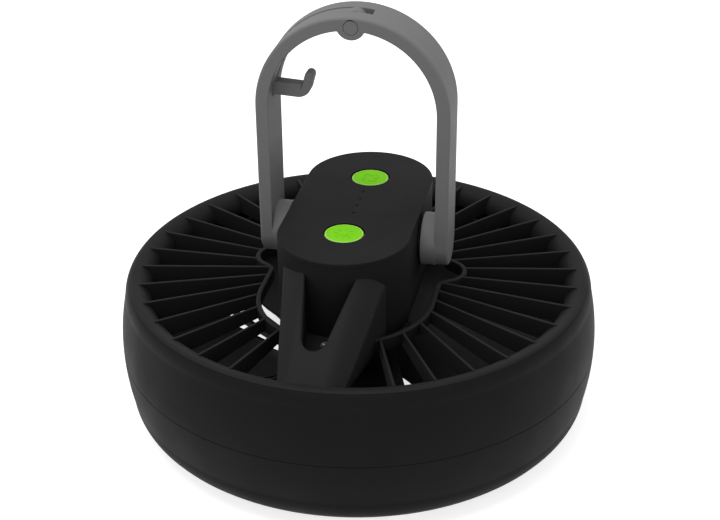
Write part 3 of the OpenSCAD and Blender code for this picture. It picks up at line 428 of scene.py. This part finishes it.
bm = turned(side_arc(BELLY_SEAM_Z, SHOULDER_Z, 0, 20)
            + rim_arc(SHOULDER_Z + 0.5, RIM_SEAM_Z, 0, 8) + [(CREST_R + RIM_STEP, RIM_SEAM_Z)]
            + rim_arc(SHOULDER_Z + 1, RIM_INSIDE_Z, WALL, 8)[::-1]
            + side_arc(BELLY_SEAM_Z + GROOVE_H, SHOULDER_Z, WALL, 12)[::-1]
            + [(TONGUE_R + GROOVE_T, BELLY_SEAM_Z + GROOVE_H), (TONGUE_R + GROOVE_T, BELLY_SEAM_Z)],
            ROUND_STEPS)
soften(bm, SEAM_ROUND, 3, 50)
for x, y in ring_of(POSTS, POST_AT, POST_TURN):
    peg(bm, x, y, BELLY_SEAM_Z, POST_TOP_Z, POST_R)
piece(bm, "side_wall_upper", "casing", ["upper_shell"], shell_abs)


# ---- Intake grille: rim with its bell mouth, fins, inner ring and struts ----

def mouth_point(turn):
    """A point of the bell mouth, from the rim's crest down into the throat."""
    return (CREST_R - MOUTH_W * math.sin(turn),
            CASING_H - MOUTH_H * (1 - math.cos(turn)) ** MOUTH_EASE)


THROAT_Z = FIN_TOP_Z - FIN_H
bm = turned(rim_arc(RIM_SEAM_Z, CASING_H, 0, 8)
            + [mouth_point(t) for t in spread(0, math.pi / 2, 20)[1:]]
            + [(MOUTH_R, THROAT_Z), (MOUTH_R + MOUTH_WALL, THROAT_Z),
               (MOUTH_R + MOUTH_WALL, CASING_H - MOUTH_H), (CREST_R - RIM_STEP, RIM_SEAM_Z)],
            ROUND_STEPS)
soften(bm, SEAM_ROUND, 3, 50)
piece(bm, "grille_rim", "casing", ["intake_grille"], grille_abs_painted_lighter)

RING_R, RING_HALF = POD_R + RING_GAP + RING_T, POD_HALF - RING_END_IN


def ring_reach(turn):
    """Radius of the inner ring's outside at an angle: an oblong round the pod, with a lobe
    round each end of the bail."""
    c, s = abs(math.cos(turn)), abs(math.sin(turn))
    reach = RING_R / c if s * RING_R <= RING_HALF * c else (
        RING_HALF * s + math.sqrt((RING_HALF * s) ** 2 - RING_HALF ** 2 + RING_R ** 2))
    along = LOBE_X * c + LOBE_Y * math.sin(turn)
    inside = LOBE_R ** 2 - LOBE_X ** 2 - LOBE_Y ** 2 + along ** 2
    return max(reach, along + math.sqrt(inside)) if inside > 0 else reach


# Points round the ring, and the rounds of smoothing that ease the lobes into the oblong
RING_STEPS, RING_PASSES = 720, 40
ring_radii = [ring_reach(2 * math.pi * i / RING_STEPS) for i in range(RING_STEPS)]
for turn in range(RING_PASSES):
    ring_radii = [(ring_radii[i - 1] + 2 * ring_radii[i] + ring_radii[(i + 1) % RING_STEPS]) / 4
                  for i in range(RING_STEPS)]

# The ring is open where the bracket's arm passes under the struts
bm = bmesh.new()
bmesh.ops.create_circle(bm, segments=RING_STEPS, radius=1)
for v in bm.verts:
    step = round(math.atan2(v.co.y, v.co.x) / (2 * math.pi) * RING_STEPS) % RING_STEPS
    v.co = Vector((v.co.x * ring_radii[step], v.co.y * ring_radii[step], FIN_TOP_Z)) * MM
gap = [v for v in bm.verts if abs(v.co.x) < ARM_GAP * MM]
bmesh.ops.delete(bm, geom=gap, context="VERTS")
down = bmesh.ops.extrude_edge_only(bm, edges=bm.edges[:])
bmesh.ops.translate(bm, verts=[v for v in down["geom"] if isinstance(v, bmesh.types.BMVert)],
                    vec=(0, 0, -RING_H * MM))
bmesh.ops.recalc_face_normals(bm, faces=bm.faces)
inner = piece(bm, "grille_inner_ring", "casing", ["intake_grille"], grille_abs_painted_lighter, 60)
thick = inner.modifiers.new("ring_wall", "SOLIDIFY")
thick.thickness = RING_T * MM
thick.offset = -1
thick.use_even_offset = True
edge = inner.modifiers.new("ring_edges", "BEVEL")
edge.width = 0.6 * MM
edge.segments = 3
edge.limit_method = "ANGLE"
edge.angle_limit = math.radians(60)
inner.modifiers.move(0, 2)

# Fins: deeper at the rim than at the ring, with rounded top edges. Three are left out at each
# strut, which stands a quarter and three quarters of the way round
HALF_TURN = FIN_PLACES // 2
bm = bmesh.new()
for i in range(FIN_PLACES):
    if abs(i % HALF_TURN - HALF_TURN / 2) <= 1:
        continue
    angle = 2 * math.pi * i / FIN_PLACES
    start = ring_radii[round(i * RING_STEPS / FIN_PLACES)] - RING_T / 2
    foot_r, end_r = MOUTH_R + FIN_SINK, CREST_R - FIN_END_IN
    outline = [(start, FIN_TOP_Z - RING_H), (foot_r, THROAT_Z), (foot_r, CASING_H - MOUTH_H),
               (end_r, FIN_TOP_Z - FIN_END_H), (end_r, FIN_TOP_Z), (start, FIN_TOP_Z)]
    face = bm.faces.new([bm.verts.new((r * MM, -FIN_T / 2 * MM, z * MM)) for r, z in outline])
    side = bmesh.ops.extrude_face_region(bm, geom=[face])
    verts = [v for v in side["geom"] if isinstance(v, bmesh.types.BMVert)]
    bmesh.ops.translate(bm, verts=verts, vec=(0, FIN_T * MM, 0))
    both = list(set(verts) | set(face.verts))
    bmesh.ops.rotate(bm, verts=both, cent=(0, 0, 0), matrix=Matrix.Rotation(angle, 3, "Z"))
bmesh.ops.recalc_face_normals(bm, faces=bm.faces)
soften(bm, 0.3, 3, 60, lambda e: all(v.co.z > (FIN_TOP_Z - 2.5) * MM for v in e.verts))
piece(bm, "grille_fins", "casing", ["intake_grille"], grille_abs_painted_lighter)

# Struts: two legs that climb from the rim to the pod, with a slot between them
STRUT_RUN = FOOT_R - POD_HALF - math.sqrt(POD_R ** 2 - SLOPE_X ** 2)
STRUT_SLOPE = math.atan((STRUT_RISE + CASING_H - FIN_TOP_Z) / STRUT_RUN)
STRUT_END = FOOT_R + STRUT_SINK
POD_END = POD_HALF + math.sqrt(POD_R ** 2 - STRUT_POD_W ** 2)


def lerp(a, b, s):
    """The point a share s of the way from a to b."""
    return tuple(p + (q - p) * s for p, q in zip(a, b))


def strut_top(x, y):
    """Height of a strut's top, which climbs to the pod and rolls over outside its crest, more
    on one flank than on the other."""
    down = min(1, max(0, (abs(y) - POD_END) / (FOOT_R - POD_END)))
    (crest_ends, fall_ends), bend = (((RIGHT_CREST, RIGHT_FALL), RIGHT_BEND) if x > 0
                                     else ((LEFT_CREST, LEFT_FALL), LEFT_BEND))
    crest, fall = lerp(*zip(crest_ends, fall_ends), down)
    edge = STRUT_POD_W + (STRUT_RIM_W - STRUT_POD_W) * down
    over = min(1, max(0, abs(x) - crest) / (edge - crest))
    return FIN_TOP_Z + (FOOT_R - abs(y)) * math.tan(STRUT_SLOPE) - fall * over ** bend


# Rows of faces along each leg and half of the rounded end, and columns across the band
LEG_ROWS, END_ROWS, COLUMNS = 24, 16, 14
left_corner, right_corner, pod_corner = [
    (x, -POD_HALF - math.sqrt(POD_R ** 2 - x ** 2) + POD_SINK)
    for x in (-SLOT_LEFT, SLOT_RIGHT, -STRUT_POD_W)]
rim_corner = (-STRUT_RIM_W - CORNER_OUT, -STRUT_END + CORNER_IN)
side_join = lerp(pod_corner, rim_corner, STRAIGHT_SHARE)
left_lean, right_lean = [math.degrees(math.atan2(w - SLOT_END_R, SLOT_END_Y - SLOT_START_Y))
                         for w in (SLOT_LEFT - SLOT_X, SLOT_RIGHT + SLOT_X)]
slot_end = arc(-SLOT_X, -SLOT_END_Y, SLOT_END_R, 180 + left_lean, 360 - right_lean, 2 * END_ROWS)
inside_line = [lerp(left_corner, slot_end[0], i / LEG_ROWS) for i in range(LEG_ROWS)] + slot_end
inside_line += [lerp(right_corner, slot_end[-1], i / LEG_ROWS) for i in range(LEG_ROWS)][::-1]
corner_bend = arc(rim_corner[0] + CORNER_BEND_R, rim_corner[1] + 1.2, CORNER_BEND_R, 190, 262, 5)
outside_end = [lerp(side_join, corner_bend[0], s) for s in (0, 0.35, 0.7)] + corner_bend
outside_end += [lerp(corner_bend[-1], (0, -STRUT_END), s) for s in spread(0, 1, END_ROWS - 7)][1:]
outside_line = [lerp(pod_corner, side_join, i / LEG_ROWS) for i in range(LEG_ROWS)] + outside_end
outside_line += [(-x, y) for x, y in outside_line[-2::-1]]
ROWS = len(inside_line) - 1


def strut(name, turn):
    """A band from the slot's edge to the outer edge, raised to the strut's top, with the web
    that closes the bottom of the slot."""
    bm = bmesh.new()
    bmesh.ops.create_grid(bm, x_segments=ROWS, y_segments=COLUMNS, size=1)
    for v in bm.verts:
        row, column = round((v.co.x + 1) / 2 * ROWS), (v.co.y + 1) / 2
        x, y = lerp(inside_line[row], outside_line[row], column)
        v.co = Vector((x, y, POD_Z)) * MM
    floor = bm.faces[:]
    raised = bmesh.ops.extrude_face_region(bm, geom=floor)
    for v in raised["geom"]:
        if isinstance(v, bmesh.types.BMVert):
            v.co.z = strut_top(v.co.x / MM, v.co.y / MM) * MM
    bmesh.ops.recalc_face_normals(bm, faces=bm.faces)
    soften(bm, STRUT_ROUND, 4, 42, lambda e: all(v.co.z > (POD_Z + 0.5) * MM for v in e.verts))
    prism(inside_line, POD_Z, POD_Z + FLOOR_T, bm)
    bmesh.ops.rotate(bm, verts=bm.verts, cent=(0, 0, 0), matrix=Matrix.Rotation(turn, 3, "Z"))
    return piece(bm, name, "casing", ["intake_grille"], grille_abs_painted_lighter, 40)


strut("strut_front", 0)
strut("strut_rear", math.pi)


# ---- Pod ----

def oblong(radius, half, count=40):
    """The pod's plan, a rectangle with round ends along Y."""
    return arc(0, half, radius, 0, 180, count) + arc(0, -half, radius, 180, 360, count)


def cut_holes(target, cutters):
    """Cuts round holes (x, y, radius, low, high) through a piece's mesh."""
    tool = bmesh.new()
    for x, y, radius, low, high in cutters:
        peg(tool, x, y, low, high, radius, 96 if radius > 2 else 24)
    mesh = bpy.data.meshes.new("hole_tool")
    tool.to_mesh(mesh)
    tool.free()
    cutter = in_scene("hole_tool", mesh)
    work = bpy.data.meshes.new("hole_work")
    target.to_mesh(work)
    target.free()
    held = in_scene("hole_work", work)
    cut = held.modifiers.new("cut", "BOOLEAN")
    cut.operation = "DIFFERENCE"
    cut.solver = "EXACT"
    cut.object = cutter
    bpy.context.view_layer.update()
    result = bmesh.new()
    result.from_mesh(held.evaluated_get(bpy.context.evaluated_depsgraph_get()).data)
    for used in (held, cutter):
        bpy.data.objects.remove(used)
    return result


bm = prism(oblong(POD_R, POD_HALF), LID_Z, POD_TOP_Z)
soften(bm, 0.4, 4, 50, lambda e: all(v.co.z > (POD_TOP_Z - 0.1) * MM for v in e.verts))
light_ys = [(i - (LIGHTS - 1) / 2) * LIGHT_STEP + LIGHT_MID_Y for i in range(LIGHTS)]
bm = cut_holes(bm, [(0, s * BUTTON_Y, BUTTON_HOLE_R, LID_Z - 1, POD_TOP_Z + 1) for s in (-1, 1)]
               + [(0, y, LIGHT_R, LID_Z - 1, POD_TOP_Z + 1) for y in light_ys])
soften(bm, 0.12, 2, 60)
prism(oblong(POD_R - SKIRT_IN, POD_HALF), LID_Z - SKIRT_LOW, LID_Z - SKIRT_HIGH, bm)
for s in (-1, 1):
    for t in (-1, 1):
        peg(bm, s * POD_POST_X, t * (POD_HALF + POD_POST_OUT), POD_Z + FLOOR_T, LID_Z, POD_POST_R)
piece(bm, "pod_top", "casing", ["pod_lid"], pod_abs)

piece(cad_copy("pod_housing", 0.3), "pod_body", "casing", ["pod_housing"], pod_abs)


# ---- Buttons ----

def button(name, node, y, body, marks):
    """A round push button with a softly domed top, a rounded edge and faint raised marks."""
    edge = [(BUTTON_R - BUTTON_ROUND + BUTTON_ROUND * math.sin(t),
             BUTTON_TOP_Z - 0.55 + BUTTON_ROUND * math.cos(t)) for t in spread(0, math.pi / 2, 6)]
    # The face is slightly hollow inside a low rim, with the marks standing in it
    rim = BUTTON_R - 1.15
    dome = [(r, BUTTON_TOP_Z - 0.32 - 0.06 * (r / rim) ** 2) for r in spread(0, rim, 6)]
    dome += [(rim + 0.2, BUTTON_TOP_Z - 0.24), (rim + 0.45, BUTTON_TOP_Z - 0.2)]
    low, flange_r = LID_Z - 0.4, BUTTON_HOLE_R + FLANGE_OUT
    bm = turned(dome + edge + [(BUTTON_R, low), (flange_r, low), (flange_r, low - FLANGE_H),
                               (STEM_R, low - FLANGE_H), (STEM_R, low - STEM_H),
                               (0, low - STEM_H)], 96)
    for shape in marks:
        before = set(bm.verts)
        prism(shape, BUTTON_TOP_Z - 0.6, BUTTON_TOP_Z - 0.12, bm)
        new = [v for v in bm.verts if v not in before]
        bmesh.ops.recalc_face_normals(bm, faces=list({f for v in new for f in v.link_faces}))
    bmesh.ops.translate(bm, verts=bm.verts, vec=(0, y * MM, 0))
    return piece(bm, name, body, [node], button_silicone)


def bar(x0, y0, x1, y1, width):
    """A straight raised stroke with its four corners."""
    along = Vector((x1 - x0, y1 - y0)).normalized() * width / 2
    return [(x0 + along.y, y0 - along.x), (x1 + along.y, y1 - along.x),
            (x1 - along.y, y1 + along.x), (x0 - along.y, y0 + along.x)]


# A plain four-bladed mark for the fan, and a plain round with rays for the lamp
blade_mark = arc(1.6, 1.2, 2.2, -70, 80, 8) + arc(0.6, 1.5, 2.1, 60, -60, 6)
fan_marks = []
for turn in (i * math.pi / 2 for i in range(4)):
    fan_marks.append([(x * math.cos(turn) - y * math.sin(turn),
                       x * math.sin(turn) + y * math.cos(turn)) for x, y in blade_mark])
lamp_marks = [arc(0, 0, 1.9, 0, 345, 23)]
lamp_marks += [bar(*(2.8 * p for p in (c, s)), *(4.3 * p for p in (c, s)), 0.7)
               for c, s in ring_of(8, 1)]
button("button_of_fan", "fan_button", BUTTON_Y, "fan_button", fan_marks)
button("button_of_lamp", "lamp_button", -BUTTON_Y, "lamp_button", lamp_marks)


# ---- Fan wheel ----

impeller_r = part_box("impeller")[1].x / MM


def blade_place(u, s):
    """A point of a blade's underside, u from hub to tip and s from trailing to leading edge."""
    radius = HUB_R - BLADE_SINK + (impeller_r - HUB_R + BLADE_SINK) * u
    turn = math.radians(-BLADE_SWEEP * u + (BLADE_SPAN + SPAN_GAIN * u) * (s - 0.5))
    height = (BLADE_MID_Z + (BLADE_LIFT - LIFT_LOSS * u) * (2 * s - 1)
              + BLADE_CAMBER * math.sin(math.pi * s) - BLADE_T / 2)
    return Vector((radius * math.cos(turn), radius * math.sin(turn), height)) * MM


bm = bmesh.new()
# Faces along and across a blade
BLADE_U, BLADE_S = 26, 24
for i in range(BLADES):
    grid = bmesh.ops.create_grid(bm, x_segments=BLADE_U, y_segments=BLADE_S, size=1)["verts"]
    faces = list({f for v in grid for f in v.link_faces})
    for v in grid:
        u, s = (v.co.x + 1) / 2, (v.co.y + 1) / 2
        v.co = blade_place(u, s)
    upper = bmesh.ops.extrude_face_region(bm, geom=faces)
    lifted = [v for v in upper["geom"] if isinstance(v, bmesh.types.BMVert)]
    bmesh.ops.translate(bm, verts=lifted, vec=(0, 0, BLADE_T * MM))
    bmesh.ops.rotate(bm, verts=grid + lifted, cent=(0, 0, 0),
                     matrix=Matrix.Rotation(math.radians(BLADE_START + i * 360 / BLADES), 3, "Z"))
bmesh.ops.recalc_face_normals(bm, faces=bm.faces)
soften(bm, 0.55, 3, 50)
turned([(BORE_R, HUB_Z), (HUB_R - 1.5, HUB_Z), (HUB_R - 0.4, HUB_Z + 0.4), (HUB_R, HUB_Z + 1.5),
        (HUB_R, HUB_Z + HUB_H - 0.5), (HUB_R - 0.5, HUB_Z + HUB_H), (HUB_R - 1.5, HUB_Z + HUB_H),
        (HUB_R - 2, HUB_Z + HUB_H - 0.5), (HUB_R - 2, HUB_Z + 3), (HUB_R - 2.5, HUB_Z + 2.5),
        (SLEEVE_R + 0.6, HUB_Z + 2.5), (SLEEVE_R, HUB_Z + 3.1), (SLEEVE_R, SLEEVE_TOP_Z),
        (BORE_R, SLEEVE_TOP_Z)], 128, bm)
piece(bm, "fan_wheel", "rotor", ["impeller"], fan_abs)


# ---- Bail and hook ----

def on_bail_rim(v, near=0.05):
    """Whether a point is on the outline of the bail's outer face."""
    x, y, z = v.co / MM
    out = math.hypot(x, z - ARCH_Z) if z > ARCH_Z else abs(x)
    return out > BAIL_OUT - near and (abs(y) > BAIL_HALF_W - near or z < PIVOT_Z)


# The outer outline is well rounded for the hand, and every other edge only a little
bm = cad_copy("bail", 0)
soften(bm, 1.15, 5, 40, lambda e: all(on_bail_rim(v) for v in e.verts))
soften(bm, 0.35, 3, 45)
piece(bm, "carry_bail", "bail", ["bail"], bail_nylon)
piece(cad_copy("hook", 0.5, 3, 50), "hang_hook", "hook", ["hook"], bail_nylon)
piece(cad_copy("hook_pin", 0.25, 2), "hook_pivot", "bail", ["hook_pin"], bail_nylon)


# ---- Underside and small pieces ----

piece(cad_copy("outlet_grille", 0), "outlet_dish", "casing", ["outlet_grille"],
      grille_abs_painted_lighter)
piece(cad_copy("foot_pads", 0.3, 2, 50), "rubber_feet", "casing", ["foot_pads"],
      foot_rubber)
piece(cad_copy("strut_screws", 0.12, 2, 50), "strut_screw_pair", "casing", ["strut_screws"],
      zinc_steel)
piece(cad_copy("casing_screws", 0.12, 1, 50), "long_screws", "casing", ["casing_screws"],
      zinc_steel)
piece(cad_copy("usb_port", 0.08, 1, 50), "charge_port", "casing", ["usb_port"],
      zinc_steel)

bm = turned([(0, LENS_Z), (LENS_R - 1.2, LENS_Z), (LENS_R - 0.35, LENS_Z + 0.35),
             (LENS_R, LENS_Z + 1.2), (LENS_R, LENS_LIP_Z), (LENS_LIP_R, LENS_LIP_Z),
             (LENS_LIP_R, LENS_TOP_Z), (0, LENS_TOP_Z)], 128)
piece(bm, "lamp_cover", "casing", ["lamp_lens"], lens_pc)

# Pieces that are shown as the CAD model has them, by what they are made of
FINISHES = {
    inner_abs: ["air_duct", "motor_bracket", "battery_tray"],
    zinc_steel: ["pod_screws", "motor_screws", "lamp_screws", "cell_contacts", "pivot_screws",
                 "impeller_nut"],
    can_steel: ["motor_can", "motor_shaft", "motor_end_plate"],
    bush_bronze: ["motor_bushes"],
    winding_copper: ["motor_rotor"],
    ferrite: ["motor_magnets"],
    board_mask: ["control_board"],
    white_mask: ["led_board"],
    cell_sleeve: ["battery_cells"],
    switch_nylon: ["tact_switches"],
    light_pc: ["charge_lights"],
    led_phosphor: ["led_chips"],
    white_abs: ["lamp_bowl", "pivot_washers"],
}
for finish, nodes in FINISHES.items():
    for node in nodes:
        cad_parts[node].data.materials.clear()
        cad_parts[node].data.materials.append(finish)


# ---- Floor, lamps and world ----

# Share of the floor's white that doesn't depend on the lamps, so that the shadow stays faint
FLOOR_GLOW = 0.75
# How bright the world is as a source of light. Where it is seen, it is white
WORLD_LIGHT = 0.5


def seen(tree):
    """1 for rays that reach a surface from the eye, by a reflection or through glass, else 0."""
    rays = add(tree, "ShaderNodeLightPath").outputs
    direct = add(tree, "ShaderNodeMath", {0: rays["Is Camera Ray"], 1: rays["Is Glossy Ray"]},
                 operation="MAXIMUM")
    any_way = add(tree, "ShaderNodeMath", {0: direct.outputs[0], 1: rays["Is Transmission Ray"]},
                  operation="MAXIMUM")
    return any_way.outputs[0]


def floor_and_world():
    """A white floor that keeps a soft shadow, and a white surround for the eye and for gloss."""
    bm = bmesh.new()
    bmesh.ops.create_circle(bm, cap_ends=True, segments=96, radius=4)
    mesh = bpy.data.meshes.new("studio_floor")
    bm.to_mesh(mesh)
    bm.free()
    floor = in_scene("studio_floor", mesh)
    material = bpy.data.materials.new("white_paper_sweep")
    material.use_nodes = True
    tree = material.node_tree
    tree.nodes.clear()
    paper = add(tree, "ShaderNodeBsdfDiffuse", {"Color": linear("#dadada")})
    level = add(tree, "ShaderNodeMath", {0: seen(tree), 1: FLOOR_GLOW}, operation="MULTIPLY")
    glow = add(tree, "ShaderNodeEmission", {"Strength": level.outputs[0]})
    both = add(tree, "ShaderNodeAddShader", {0: paper.outputs[0], 1: glow.outputs[0]})
    # The sheet is clear from below, so that the underside can be looked at
    below = add(tree, "ShaderNodeNewGeometry").outputs["Backfacing"]
    clear = add(tree, "ShaderNodeBsdfTransparent")
    sheet = add(tree, "ShaderNodeMixShader", {0: below, 1: both.outputs[0], 2: clear.outputs[0]})
    add(tree, "ShaderNodeOutputMaterial", {"Surface": sheet.outputs[0]})
    mesh.materials.append(material)

    world = bpy.data.worlds.new("studio_surround")
    bpy.context.scene.world = world
    world.use_nodes = True
    tree = world.node_tree
    tree.nodes.clear()
    level = add(tree, "ShaderNodeMapRange", {"Value": seen(tree), "To Min": WORLD_LIGHT,
                                              "To Max": 1})
    light = add(tree, "ShaderNodeBackground", {"Color": (1, 1, 1, 1),
                                                "Strength": level.outputs[0]})
    add(tree, "ShaderNodeOutputWorld", {"Surface": light.outputs[0]})


def softbox(name, place, aim, size, power):
    """A square lamp that faces a point."""
    data = bpy.data.lights.new(name, "AREA")
    data.size = size
    data.energy = power
    lamp = in_scene(name, data)
    lamp.location = place
    lamp.rotation_mode = "QUATERNION"
    lamp.rotation_quaternion = (Vector(aim) - Vector(place)).to_track_quat("-Z", "Y")


floor_and_world()
softbox("softbox_above", (-0.2, -0.2, 1.3), (0, 0, 0.05), 0.9, 8.6)
softbox("softbox_left", (-1.2, -0.4, 0.5), (0, 0, 0.05), 0.7, 0.3)
softbox("softbox_front", (0.1, -1.3, 0.8), (0, 0, 0.08), 0.7, 1.2)

bpy.context.scene.view_settings.view_transform = "Standard"
